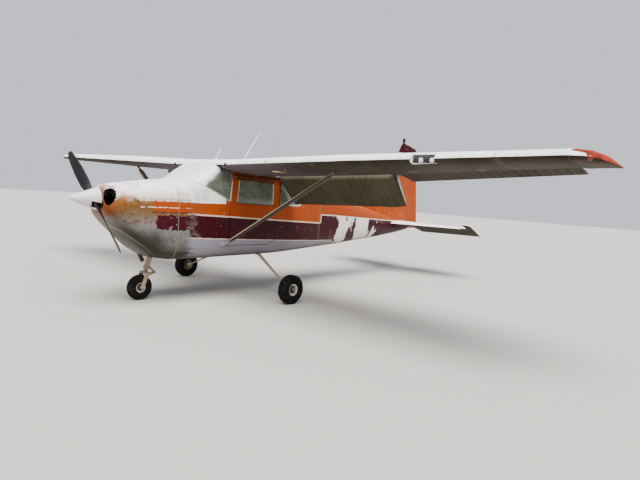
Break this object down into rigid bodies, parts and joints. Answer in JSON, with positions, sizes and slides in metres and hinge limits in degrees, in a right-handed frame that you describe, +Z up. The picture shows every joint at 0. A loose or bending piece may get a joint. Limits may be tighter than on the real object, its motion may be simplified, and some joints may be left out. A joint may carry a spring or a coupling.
{
  "type": "light aircraft",
  "caption": "High-wing light aeroplane with strut-braced wing, tricycle gear, propeller, opening cabin doors and hinged flaps, ailerons, elevator and rudder.",
  "frame": {"origin": "on the ground under the middle of the aircraft's length, in its symmetry plane", "axes": "+X aft, +Y to starboard along the span, +Z up"},
  "size_m": [8.3792, 10.9232, 3.0753],
  "materials": {
    "skin_white": "satin",
    "skin_orange": "satin",
    "skin_maroon": "satin",
    "skin_bare": "satin",
    "nose_shell": "satin",
    "tip_plastic": "satin",
    "gear_steel": "satin",
    "rim_metal": "satin",
    "tyre_rubber": "matte",
    "blade_metal": "satin",
    "spinner_shell": "satin",
    "engine_iron": "matte",
    "exhaust_steel": "matte",
    "clear_glass": "gloss",
    "seat_fabric": "matte",
    "cabin_plastic": "matte",
    "beacon_plastic": "gloss",
    "aerial_plastic": "satin"
  },
  "bodies": {
    "airframe": {"nose_bowl": "nose_shell", "cowl_upper": "skin_white", "cowl_lower": "skin_bare", "firewall": "skin_bare", "engine_block": "engine_iron", "cabin_shell": "skin_orange", "cabin_roof": "skin_white", "cabin_floor": "skin_bare", "windshield": "clear_glass", "rear_window_left": "clear_glass", "rear_window_right": "clear_glass", "rear_bulkhead": "skin_bare", "tail_cone": "skin_maroon", "wing_left": "skin_white", "wing_tip_left": "tip_plastic", "landing_light": "clear_glass", "pitot_tube": "skin_bare", "strut_left": "gear_steel", "wing_right": "skin_white", "wing_tip_right": "tip_plastic", "strut_right": "gear_steel", "stabilizer": "skin_white", "fin": "skin_orange", "beacon": "beacon_plastic", "main_leg_left": "gear_steel", "main_leg_right": "gear_steel", "nose_strut": "gear_steel", "seat_left": "seat_fabric", "seat_right": "seat_fabric", "rear_bench": "seat_fabric", "exhaust_stack": "exhaust_steel", "instrument_panel": "cabin_plastic", "yoke_left": "cabin_plastic", "yoke_right": "cabin_plastic", "aerial_front": "aerial_plastic", "aerial_rear": "aerial_plastic"},
    "propeller": {"propeller": "blade_metal", "spinner": "spinner_shell"},
    "nose_fork": {"nose_fork": "gear_steel"},
    "nose_wheel": {"nose_tyre": "tyre_rubber", "nose_rim": "rim_metal"},
    "main_wheel_left": {"main_tyre_left": "tyre_rubber", "main_rim_left": "rim_metal"},
    "main_wheel_right": {"main_tyre_right": "tyre_rubber", "main_rim_right": "rim_metal"},
    "door_left": {"door_left": "skin_orange", "door_glass_left": "clear_glass"},
    "door_right": {"door_right": "skin_orange", "door_glass_right": "clear_glass"},
    "flap_left": {"flap_left": "skin_white"},
    "flap_right": {"flap_right": "skin_white"},
    "aileron_left": {"aileron_left": "skin_white"},
    "aileron_right": {"aileron_right": "skin_white"},
    "elevator": {"elevator": "skin_white"},
    "rudder": {"rudder": "skin_orange"}
  },
  "joints": [
    {"name": "propeller_spin", "type": "hinge", "parent": "airframe", "child": "propeller", "pos_m": [-3.8796, 0, 1.4], "axis": [1, 0, 0], "continuous": true},
    {"name": "nose_steering", "type": "hinge", "parent": "airframe", "child": "nose_fork", "pos_m": [-3.10099, 0, 0.425], "axis": [0.2778, 0, 0.9606], "range_deg": [-30, 30]},
    {"name": "nose_wheel_spin", "type": "hinge", "parent": "nose_fork", "child": "nose_wheel", "pos_m": [-3.1916, 0, 0.178], "axis": [0, 1, 0], "continuous": true},
    {"name": "main_wheel_left_spin", "type": "hinge", "parent": "airframe", "child": "main_wheel_left", "pos_m": [-1.5196, -1.35, 0.218], "axis": [0, 1, 0], "continuous": true},
    {"name": "main_wheel_right_spin", "type": "hinge", "parent": "airframe", "child": "main_wheel_right", "pos_m": [-1.5196, 1.35, 0.218], "axis": [0, 1, 0], "continuous": true},
    {"name": "door_left_swing", "type": "hinge", "parent": "airframe", "child": "door_left", "pos_m": [-2.0736, -0.5475, 1.15], "axis": [0, 0, 1], "range_deg": [-80, 0]},
    {"name": "door_right_swing", "type": "hinge", "parent": "airframe", "child": "door_right", "pos_m": [-2.0736, 0.5475, 1.15], "axis": [0, 0, 1], "range_deg": [0, 80]},
    {"name": "flap_left_pivot", "type": "hinge", "parent": "airframe", "child": "flap_left", "pos_m": [-1.21757, -0.5755, 1.78833], "axis": [0, 0.9996, -0.0279], "range_deg": [-46, 0]},
    {"name": "flap_right_pivot", "type": "hinge", "parent": "airframe", "child": "flap_right", "pos_m": [-1.21757, 0.5755, 1.78833], "axis": [0, 0.9996, 0.0279], "range_deg": [-46, 0]},
    {"name": "aileron_left_hinge", "type": "hinge", "parent": "airframe", "child": "aileron_left", "pos_m": [-1.05699, -2.81582, 2.02328], "axis": [0.1105, 0.9932, -0.0378], "range_deg": [-33, 1]},
    {"name": "aileron_right_hinge", "type": "hinge", "parent": "airframe", "child": "aileron_right", "pos_m": [-1.05699, 2.81582, 2.02328], "axis": [-0.1105, 0.9932, 0.0378], "range_deg": [-1, 33]},
    {"name": "elevator_hinge", "type": "hinge", "parent": "airframe", "child": "elevator", "pos_m": [3.5904, 0, 1.11], "axis": [0, 1, 0], "range_deg": [-50, 0]},
    {"name": "rudder_hinge", "type": "hinge", "parent": "airframe", "child": "rudder", "pos_m": [3.7354, 0, 0.985], "axis": [-0.0616, 0, 0.9981], "range_deg": [-24, 24]}
  ],
  "couplings": [
    {"joint": "flap_right_pivot", "follows": "flap_left_pivot", "ratio": 1},
    {"joint": "aileron_right_hinge", "follows": "aileron_left_hinge", "ratio": -1}
  ]
}
